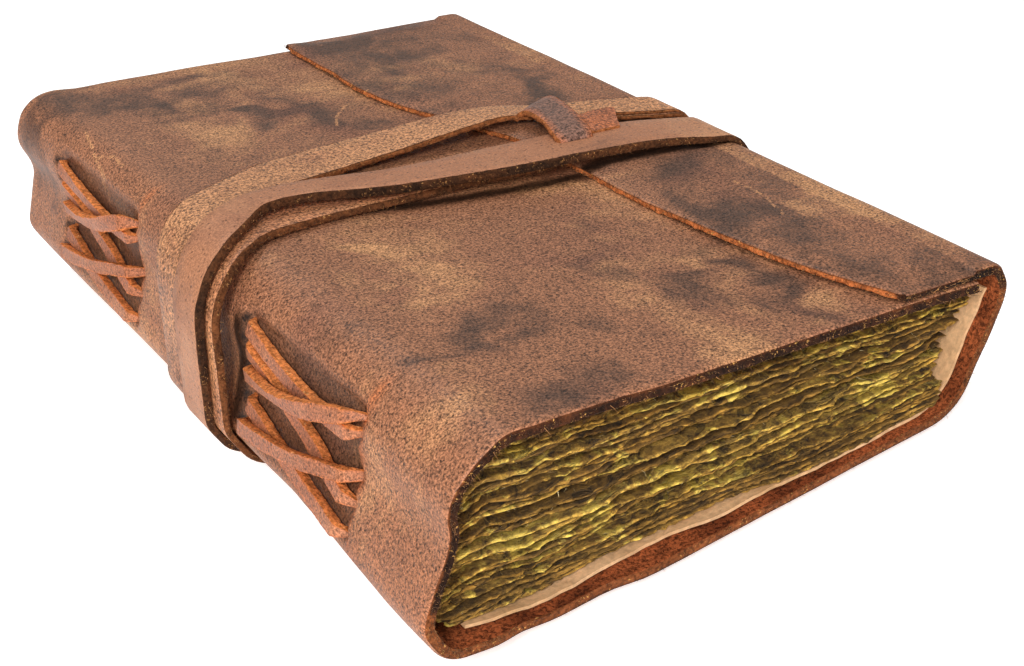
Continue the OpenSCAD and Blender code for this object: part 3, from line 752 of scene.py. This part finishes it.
# Specks of pulp and fibre that stick out of the torn edges
PULP = fibre_leather("pulp_fibre", (0.22, 0.125, 0.03), (0.95, 0.75, 0.38))
rng = np.random.default_rng(77)
count = 3800
fx = rng.uniform(-68, 66, count)
fz = bed(fx) + rng.uniform(0.03, 0.97, count) * (roof(fx) - bed(fx))
fy = np.where(rng.uniform(0, 1, count) < 0.6, -1, 1)
roots = row(fx, fy * (PAPER_HALF + rng.uniform(-1.8, 0.2, count)), fz)
ways = np.stack([rng.normal(0, 1.2, count), fy * 0.8, rng.normal(0, 0.5, count)], 1)
pulp_fibres = fibres("pulp_fibres", roots, ways / np.linalg.norm(ways, axis=1)[:, None],
                     rng.gamma(2.0, 0.0005, count), rng.uniform(0.00002, 0.00007, count), 78, [PULP])
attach(pulp_fibres, "root")


# Lining
# A thin pale skin that faces the flesh side of the back cover and the wall. It is glued
# there, shrunk and cockled, and torn where it turns up into the wall.
def lining(name):
    p = Paint(name)
    soft = p.cloud(34, 4, 0.6, 0.5)
    fine = p.cloud(620, 4, 0.7)
    base = p.mix(p.ramp(soft, 0.36, 0.66), (0.76, 0.46, 0.24), (0.58, 0.33, 0.15))
    # Painted shade: the lining darkens along its tear.
    base = p.shade(base, p.ramp(fine, 0.3, 0.7, 0.80, 1.15) * (1 - p.attribute("pit") * 0.7))
    p.set(Base_Color=base, Roughness=0.72, Normal=p.bump(soft * 2 + fine * 0.4, 0.0006))
    return p.material


LINING = lining("lining")
l0, l1 = LINE.where("x", -69, BULGE_S + 12, 300), LINE.where("z", 26.6, CORNER_S - 34, CORNER_S)
bend_s = LINE.where("x", 50, 250, CORNER_S)
ls = np.concatenate([np.linspace(l0, bend_s, 76, endpoint=False), np.linspace(bend_s, l1, 46)])
ly = np.concatenate([[-115.5, -115, -114], np.linspace(-112, 112, 60), [114, 115, 115.5]])
LS, LY = np.meshgrid(ls, ly, indexing="ij")
end = smooth((np.abs(LY) - 100) / 14)
LY = LY + np.sign(LY) * end * (0.3 * noise(LS / 14, np.sign(LY), 71) + 0.2 * noise(LS / 3, np.sign(LY), 72))
tear = np.exp(-((LS - CORNER_S + 34) / 1.4) ** 2)
up_wall = smooth((LS - CORNER_S + 44) / 14)
line_x = LINE.at(LS, 0)[0]
further = np.interp(line_x, [-64, -44, -24, -6, 30, 50], [1.7, 0.9, 0.6, 2.9, 3.9, 3.4])
LY = LY + np.sign(LY) * end * (further * (1 - up_wall) + 2.6 * up_wall - 1.5 - tear * 2.4)
by_spine = smooth((LINE.where("x", -48, 200, 330) - LS) / 12)
lift = 0.25 + 0.30 * (noise(LS / 9, LY / 30, 73) + 1) * end + 0.5 * end * by_spine
lx, lz = LINE.at(LS, -HIDE_T - 0.9 - lift)
bx, bz = LINE.at(LS, -HIDE_T - 0.12 - lift)


def even_edge(f, n):
    """The lining's cut edge is thin and stands out nowhere."""
    return np.zeros(n)


points, faces, slots, levels = slab(row(lx, LY, lz), row(bx, LY, bz), 1, even_edge)
# Painted shade along the tear, where the lining turns up into the wall.
torn_edge = (tear * end).ravel()
lining_sheet = make("lining_sheet", points, faces, None, [LINING],
                    {"pit": np.concatenate([torn_edge, torn_edge, torn_edge[levels[0]]])})
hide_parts("liner")
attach(lining_sheet, "root")

# Thongs
# Two flat leather thongs, one for each group of holes. Each runs outside from hole to hole
# of the spine, two stretches over the others, and comes back inside through the folds.
THONG_GRAIN = grain_leather("thong_grain", (0.34, 0.122, 0.060), (0.43, 0.185, 0.095),
                            (0.16, 0.064, 0.038), 0.60)
THONG_CUT = cut_leather("thong_cut", (0.16, 0.045, 0.015), (0.74, 0.235, 0.066), (0.95, 0.50, 0.20))
THONG_W, THONG_T = 3.5, 2.2
OUTSIDE = [(0, 1, 0), (1, 3, 0), (3, 4, 0), (2, 0, 1), (4, 2, 1)]
INSIDE = [(0, 0), (1, 1), (3, 3), (4, 4)]
SECTION = [(-1, 0.86), (-0.93, 1.0), (-0.5, 1.0), (0, 1.0), (0.5, 1.0), (0.93, 1.0), (1, 0.86),
           (1.02, 0.5), (1, 0.12), (0.93, 0), (0, 0), (-0.93, 0), (-1, 0.12), (-1.02, 0.5)]
SECTION_SLOTS = [1, 0, 0, 0, 0, 1, 1, 1, 1, 0, 0, 1, 1, 1]


def tube(rings, slots_of_ring):
    """Points, faces and slots of a closed band whose rings have the same count of points."""
    n, k = rings.shape[:2]
    faces = quads(n, k, 0, wrap=True) + [list(range(k))[::-1], list(range((n - 1) * k, n * k))]
    return rings.reshape(-1, 3), faces, list(slots_of_ring) * (n - 1) + [slots_of_ring[-1]] * 2


def ring_on(line, s, y, h, way, width, thick, tilt=0.0, jitter=None):
    """The points round a flat band at a place on a line; way is its heading there."""
    size = math.hypot(*way)
    across = (-way[1] / size, way[0] / size)
    ring = []
    for k, (u, t) in enumerate(SECTION):
        rough = 0 if jitter is None else jitter[k]
        side = u * width / 2 + rough * (abs(u) > 0.9) * math.copysign(1, u)
        x, z = line.at(s + across[0] * side, h + thick * t + tilt * (1 - u) / 2)
        ring.append((float(x), y + across[1] * side, float(z)))
    return ring


def thong(y0, a, b, bow, inside, seed):
    s0, s1 = float(spine_s(LEFT_HOLES[a])), float(spine_s(RIGHT_HOLES[b]))
    rng = np.random.default_rng(seed)
    rings = []
    steps = 56
    for i in range(steps + 1):
        f = i / steps
        over = 0.012 * (2 * f - 1)
        s, y = s0 + (s1 - s0) * (f + over), y0 - LACE_SPAN * (f + over)
        from_end = min(f, 1 - f) * LACE_SPAN
        if inside:
            h = -HIDE_T - 0.3 - THONG_T
        else:
            rest = -0.35 if bow else -1.15
            h = rest + bow * 1.9 * math.sin(math.pi * f) ** 0.7 - 3.6 * (1 - float(smooth(from_end / 3.8)))
        sag = (2.6 if a == 0 else 1.2) * math.sin(math.pi * f)
        sway = sag + 0.5 * float(noise(f * 3.2, seed, 81)) * math.sin(math.pi * f)
        width = THONG_W * (1 - 0.5 * (1 - float(smooth(from_end / 4.5))))
        width = width + 0.25 * float(noise(f * 9, seed, 82))
        rings.append(ring_on(LINE, s + sway, y, h, (s1 - s0, -LACE_SPAN), width, THONG_T,
                             0.5 * bow * math.sin(math.pi * f), rng.normal(0, 0.07, len(SECTION))))
    r = np.array(rings)
    return tube(row(r[..., 0], r[..., 1], r[..., 2]), SECTION_SLOTS)


for where, y0 in LACINGS.items():
    parts = [thong(y0, a, b, bow, False, 10 * a + b) for a, b, bow in OUTSIDE]
    parts += [thong(y0, a, b, 0, True, 50 + a) for a, b in INSIDE]
    points, faces, slots = join(parts)
    at_side = np.tile([abs(u) > 0.9 for u, t in SECTION], len(points) // len(SECTION))
    lace = make(where + "_thong", points, faces, slots, [THONG_GRAIN, THONG_CUT],
                {"tone": np.full(len(points), 0.25), "rust": np.where(at_side, 0.95, 0.22),
                 "pit": np.zeros(len(points))})
    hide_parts(where + "_lacing")
    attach(lace, "root")

# Strap
# The long leather strap. It starts at the flap's edge, goes three times round the closed book,
# and its tip comes up over the wall once more and is hitched round the turns on the flap.
# WRAP is the taut line under it.
FLAP_MID = 28.5
WRAP = Line([(FLAP_MID, flap_z(FLAP_MID), 40), SHOULDER, BULGE, HEEL, HEEL_TOE, TOE, WALL_TOP, LIP],
            closed=True)
ROUND = WRAP.length
LOW = 0.2


def on_front(x):
    return float(WRAP.where("x", x, 0, 105))


def on_flap(x):
    return float(WRAP.where("x", x, ROUND - 52, ROUND)) - ROUND


def on_spine(z):
    return float(WRAP.where("z", z, 98, 158))


def on_under(x):
    return float(WRAP.where("x", x, 160, 300))


def on_wall(z):
    return float(WRAP.where("z", z, 290, 342))


def bridge(x):
    return FLAP_LIFT * (x - SPINE_X) / (FLAP_MID - SPINE_X)


# Each station: turn, distance, y, height over the line, width, lift of the tail side, thickness
TURNS = [
    (0, on_front(25.5), -7.5, LOW - bridge(25.5), 13, 0, 1.9),
    (0, on_front(0), -6.5, LOW - bridge(0), 13, 0, 1.9),
    (0, on_front(-42), -6.8, LOW - bridge(-42), 14, 0, 1.9),
    (0, on_front(-58), -9, LOW - bridge(-58) + 0.1, 14, 0, 2.0),
    (0, on_spine(48), -19.5, LOW, 14, 0, 2.1),
    (0, on_spine(36), -22, LOW, 14, 0, 2.1),
    (0, on_spine(15), -22, LOW, 14, 0, 1.6),
    (0, on_under(-60), -23.5, LOW, 14, 0, 1.5),
    (0, on_under(56.5), -24, LOW, 16.5, 0, 2.0),
    (0, on_wall(10), -24, LOW, 16.5, 0, 2.1),
    (0, on_wall(28), -20.5, LOW - 0.6, 17, 0, 1.7),
    (1, on_flap(69), -17.2, LOW - 0.6, 17.5, 0, 1.7),
    (1, on_flap(60), -15.8, LOW, 17.5, 0.2, 2.1),
    (1, on_flap(48), -13.4, LOW + 0.2, 18.4, 0.5, 2.3),
    (1, on_front(18), -11.6, LOW + 0.5, 17.8, 0.6, 2.4),
    (1, on_front(-4), -9.6, LOW + 0.7, 15, 0.8, 2.4),
    (1, on_front(-18), -7.6, LOW + 0.9, 14, 0.8, 2.4),
    (1, on_front(-40), -1.8, 2.0, 10.6, 0.6, 2.4),
    (1, on_front(-54), -1.8, 2.5, 9.4, 0.3, 2.4),
    (1, on_spine(50), -15, 2.6, 13, 0, 2.4),
    (1, on_spine(42), -18.6, 2.6, 13.2, 0, 2.3),
    (1, on_spine(32), -18.4, 2.6, 14, 0, 2.3),
    (1, on_spine(15), -15.5, 1.9, 14, 0, 1.8),
    (1, on_under(-68), -9.4, 1.8, 14, 0, 1.7),
    (1, on_under(-54), -9.2, LOW, 14, 0, 2.0),
    (1, on_under(56.5), -8, LOW, 14, 0, 2.0),
    (1, on_wall(10), -5, LOW, 13.5, 0, 1.8),
    (1, on_wall(28), 1.5, LOW - 0.6, 13.5, 0, 1.2),
    (2, on_flap(70), 3.4, LOW - 0.6, 13.0, 0, 1.0),
    (2, on_flap(66), 5.4, LOW - 0.3, 13.6, 0, 1.0),
    (2, on_flap(56), 7.8, LOW, 13, 0, 1.1),
    (2, on_flap(44), 14, LOW, 11, 0.6, 1.2),
    (2, on_front(28.5), 21.4, LOW, 14, 1.6, 1.5),
    (2, on_front(16), 22.4, LOW, 16, 0.9, 1.5),
    (2, on_front(-4), 22.0, LOW - 0.8, 16.4, 0.2, 1.5),
    (2, on_front(-20), 21.2, LOW - 1.0, 17.2, 0, 1.5),
    (2, on_front(-40), 17.8, LOW - 0.5, 17.8, 0, 1.5),
    (2, on_front(-56), 10.5, LOW, 15.5, 0, 1.6),
    (2, on_spine(50), 3, LOW, 14, 0, 1.8),
    (2, on_spine(44), -1.6, LOW, 13.2, 0, 1.9),
    (2, on_spine(36), -2.2, LOW, 13.5, 0, 2.0),
    (2, on_spine(15), -1.5, LOW, 13.5, 0, 1.6),
    (2, on_under(-66), 4.8, LOW, 13.5, 0, 2.0),
    (2, on_under(-54), 6.2, LOW, 13.5, 0, 2.0),
    (2, on_under(58.5), 7.6, LOW, 12.5, 0, 1.8),
    (2, on_wall(9), 6.8, 1.5, 12.5, 0, 1.2),
    (2, on_wall(28), 2.4, 0.7, 12.5, 0, 0.9),
    (3, on_flap(70), 3.9, 0.6, 12.6, 0, 0.8),
    (3, on_flap(66), 5.8, 0.9, 12.8, 0, 0.9),
    (3, on_flap(56), 8.1, 1.4, 12.6, 0, 0.9),
    (3, on_flap(40), 12.6, 1.7, 11, 0, 1.0),
]
stations = np.array([(t[0] * ROUND + t[1], *t[2:]) for t in TURNS])
strap_s = np.arange(stations[0, 0], stations[-1, 0], 1.25)
kernel = np.hanning(15)
kernel /= kernel.sum()


def eased(k):
    v = np.interp(strap_s, stations[:, 0], stations[:, k])
    return np.convolve(np.pad(v, 7, mode="edge"), kernel, "valid")


strap_y, strap_h, strap_w, strap_tilt, strap_t = (eased(k) for k in (1, 2, 3, 4, 5))
strap_w = strap_w + 0.35 * noise(strap_s / 17, 0, 91) + 0.15 * noise(strap_s / 5, 0, 92)
strap_y = strap_y + 0.25 * noise(strap_s / 21, 0, 93)
slope_y = np.gradient(strap_y, strap_s)
rng = np.random.default_rng(17)
r = np.array([ring_on(WRAP, s, y, h, (1, dy), w, thick, tilt, rng.normal(0, 0.09, len(SECTION)))
              for s, y, h, w, tilt, thick, dy
              in zip(strap_s, strap_y, strap_h, strap_w, strap_tilt, strap_t, slope_y)])
STRAP_GRAIN = grain_leather("strap_grain", (0.36, 0.155, 0.078), (0.55, 0.262, 0.122),
                            (0.10, 0.058, 0.048), 0.78, 0.8)
STRAP_PLAIN = grain_leather("strap_plain", (0.43, 0.190, 0.098), (0.56, 0.280, 0.142),
                            (0.17, 0.080, 0.048), 0.34, 1.1)
STRAP_CUT = cut_leather("strap_cut", (0.036, 0.015, 0.007), (0.45, 0.145, 0.045), (0.50, 0.24, 0.08))
STRAP_FLESH = flesh_leather("strap_flesh", (0.62, 0.235, 0.115), (0.42, 0.14, 0.062))
strap_slots = [{0: 0, 1: 1}[k] for k in SECTION_SLOTS]
strap_slots[9:11] = [2, 2]
points, faces, slots = tube(row(r[..., 0], r[..., 1], r[..., 2]), strap_slots)
around = np.repeat(strap_s, len(SECTION))
turn = around / ROUND
plain_rings = np.repeat((strap_s[:-1] > 0.7 * ROUND) & (strap_s[:-1] < 1.58 * ROUND), len(SECTION))
slots[:len(plain_rings)] = np.where(plain_rings & (np.array(slots[:len(plain_rings)]) == 0), 3,
                                    slots[:len(plain_rings)]).tolist()
strap_tone = np.where(turn > 1.9, 0.9, np.where(turn < 0.6, 0.5, 0.1)) + 0.3 * noise(around / 30, 0, 95)
over_spine = (around > 2 * ROUND + on_spine(56)) & (around < 2 * ROUND + on_under(-60))
strap_tone = np.where(over_spine, strap_tone - 0.75, strap_tone)
side_rust = np.where(turn < 0.8, 0.22, 0.06) + 0.1 * noise(around / 9, 0, 96)
side_rust = np.where(turn > 1.85, 0.55, side_rust)
face_rust = np.where(turn < 0.6, 0.22, 0.06)
is_side = np.tile(np.array([abs(u) > 0.9 and 0.05 < t < 0.95 for u, t in SECTION]), len(strap_s))
strap = make("strap_band", points, faces, slots, [STRAP_GRAIN, STRAP_CUT, STRAP_FLESH, STRAP_PLAIN],
             {"tone": strap_tone, "rust": np.where(is_side, side_rust, face_rust),
              "pit": np.zeros(len(points))})
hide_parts("strap")
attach(strap, "root")


# The hitch: the skived tip of the strap, folded round the turns on the flap, and its stub.
# Both are set out on the flap's slope: x and y as seen from above, h over the flap.
def flap_point(x, y, h):
    n = math.hypot(1, SLOPE)
    return x + h * SLOPE / n, y, flap_z(x) + h / n


def folded(left, right, thick, seed):
    """A band between its two edge lines, each a list of (x, y, h)."""
    rng = np.random.default_rng(seed)

    def finer(line):
        line, f = np.array(line, float), np.linspace(0, len(line) - 1, 60)
        c = np.stack([np.interp(f, range(len(line)), line[:, k]) for k in range(3)], 1)
        blend = [0.06, 0.12, 0.2, 0.24, 0.2, 0.12, 0.06]
        return np.stack([np.convolve(np.pad(c[:, k], 3, mode="edge"), blend, "valid")
                         for k in range(3)], 1)

    a, b = finer(left), finer(right)
    c, side = (a + b) / 2, (b - a) / 2
    way = np.gradient(c, axis=0)
    up = np.cross(way, side)
    up /= np.linalg.norm(up, axis=1)[:, None]
    rings = []
    for i in range(len(c)):
        ring = []
        for u, t in SECTION:
            jitter = rng.normal(0, 0.012) * (abs(u) > 0.9)
            swell = 0.22 * float(noise(i / 9, u * 2 + 5, seed)) - 0.25 * u * u
            q = c[i] + side[i] * (u + jitter) + up[i] * (t * thick + swell)
            ring.append(flap_point(*q))
        rings.append(ring)
    r = np.array(rings)
    return tube(row(r[..., 0], r[..., 1], r[..., 2]), strap_slots)


HITCH_GRAIN = grain_leather("hitch_grain", (0.23, 0.120, 0.085), (0.46, 0.27, 0.18),
                            (0.060, 0.042, 0.044), 0.75, 0.75)
west = [(30.4, 13.6, 0.9), (30.9, 12.8, 2.6), (31.8, 11.2, 3.5), (31.6, 7, 3.8),
        (30.2, 0, 4.2), (28.2, -6.5, 4.2), (27.5, -9.8, 3.6), (28.0, -10.9, 2.7),
        (28.8, -9.5, 2.1), (29.5, -6, 2.0)]
east = [(44.4, 22.0, 0.9), (44.8, 21.2, 2.4), (45.4, 19.2, 3.4), (44.4, 13.5, 3.9),
        (42.0, 4, 4.6), (39.8, -5, 4.6), (38.6, -9.3, 4.0), (38.2, -10.8, 3.0),
        (38.4, -9.2, 2.2), (38.8, -5, 2.0)]
points, faces, slots = folded(west, east, 1.4, 61)
hitch_band = make("hitch_band", points, faces, slots, [HITCH_GRAIN, STRAP_CUT, STRAP_FLESH],
                  {"tone": np.full(len(points), -0.35),
                   "rust": np.where(np.tile([abs(u) > 0.9 for u, t in SECTION], 60), 0.85, 0.04),
                   "pit": np.zeros(len(points))})
near = [(36.5, -9.5, 3.2), (39.4, -9.6, 3.4), (43.5, -9.6, 3.4), (48.4, -9.4, 3.0)]
far = [(39.5, 1.5, 3.6), (43.0, 2.8, 3.8), (48.0, 3.4, 4.0), (54.6, 2.2, 3.9)]
points, faces, slots = folded(far, near, 1.4, 62)
slots = [{0: 2, 1: 1, 2: 0}[s] for s in slots]
hitch_stub = make("hitch_stub", points, faces, slots, [HITCH_GRAIN, STRAP_CUT, STRAP_FLESH],
                  {"tone": np.zeros(len(points)), "rust": np.full(len(points), 0.8),
                   "pit": np.zeros(len(points))})
for piece in (hitch_band, hitch_stub):
    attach(piece, "root")

# The loose fibres of the strap's cut edges
edge_k = [7, 8, 13, 12]
strap_points = np.array([v.co for v in strap.data.vertices]).reshape(-1, len(SECTION), 3)
rng = np.random.default_rng(18)
count = 5200
i = rng.integers(0, len(strap_points) - 1, count)
k = np.array(edge_k)[rng.integers(0, 4, count)]
slide = rng.uniform(0, 1, count)[:, None]
roots = strap_points[i, k] * (1 - slide) + strap_points[i + 1, k] * slide
ways = strap_points[i, k] - strap_points[i, 3]
ways /= np.linalg.norm(ways, axis=1)[:, None]
strap_fibres = fibres("strap_fibres", roots, ways, rng.gamma(2.0, 0.00026, count) + 0.0001,
                      rng.uniform(0.00003, 0.00007, count), 19, [HIDE_FIBRE])
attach(strap_fibres, "root")

# Stage, light and camera
floor_paint = Paint("floor")
floor_paint.set(Base_Color=(0.93, 0.93, 0.93), Roughness=0.9, Emission_Color=(1, 1, 1))
floor_paint.bsdf.inputs["Emission Strength"].default_value = 0.45
edit = bmesh.new()
bmesh.ops.create_grid(edit, x_segments=1, y_segments=1, size=3.0)
floor_mesh = bpy.data.meshes.new("floor")
edit.to_mesh(floor_mesh)
edit.free()
floor_mesh.materials.append(floor_paint.material)
floor = bpy.data.objects.new("floor", floor_mesh)
bpy.context.scene.collection.objects.link(floor)
floor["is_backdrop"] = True

world = bpy.data.worlds.new("studio")
bpy.context.scene.world = world
world.use_nodes = True
tree = world.node_tree
tree.nodes.clear()
path = tree.nodes.new("ShaderNodeLightPath")
seen = tree.nodes.new("ShaderNodeBackground")
seen.inputs["Color"].default_value = (1, 1, 1, 1)
lit = tree.nodes.new("ShaderNodeBackground")
lit.inputs["Color"].default_value = (1, 0.985, 0.96, 1)
lit.inputs["Strength"].default_value = 0.42
blend = tree.nodes.new("ShaderNodeMixShader")
output = tree.nodes.new("ShaderNodeOutputWorld")
tree.links.new(path.outputs["Is Camera Ray"], blend.inputs[0])
tree.links.new(lit.outputs[0], blend.inputs[1])
tree.links.new(seen.outputs[0], blend.inputs[2])
tree.links.new(blend.outputs[0], output.inputs[0])


def softbox(name, place, aim, size, power):
    light = bpy.data.lights.new(name, "AREA")
    light.shape, light.size, light.energy = "DISK", size, power
    lamp = bpy.data.objects.new(name, light)
    lamp.location = place
    lamp.rotation_euler = (Vector(aim) - Vector(place)).to_track_quat("-Z", "Y").to_euler()
    bpy.context.scene.collection.objects.link(lamp)
    return lamp


softbox("key", (-0.75, -0.85, 0.9), (0, 0, 0.02), 0.45, 12)
softbox("back", (0.1, 0.6, 1.1), (0, 0, 0.03), 0.5, 4.5)
softbox("front", (-0.3, -1.2, 0.3), (-0.02, -0.1, 0.02), 0.35, 6)

PHOTO_FROM = [-168.07, -342.62, 221.31]
PHOTO_LENS = 57.24
turned, raised, roll = math.radians(-27.79), math.radians(30.94), math.radians(-8.53)
back_way = Vector((math.sin(turned) * math.cos(raised), -math.cos(turned) * math.cos(raised),
                   math.sin(raised)))
right = Vector((math.cos(turned), math.sin(turned), 0))
up = back_way.cross(right)
right2 = right * math.cos(roll) + up * math.sin(roll)
up2 = up * math.cos(roll) - right * math.sin(roll)
lens = bpy.data.cameras.new("photo")
lens.sensor_width, lens.sensor_fit, lens.lens = 36, "HORIZONTAL", PHOTO_LENS
lens.clip_start = 0.01
camera = bpy.data.objects.new("photo", lens)
place = (np.array(PHOTO_FROM) + SHIFT) * 0.001
facing = Matrix((right2, up2, back_way)).transposed().to_4x4()
camera.matrix_world = Matrix.Translation(Vector(place)) @ facing
bpy.context.scene.collection.objects.link(camera)
bpy.context.scene.camera = camera
bpy.context.scene.view_settings.view_transform = "Standard"

{"cad": cad_bounds, "visual": plain(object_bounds())}
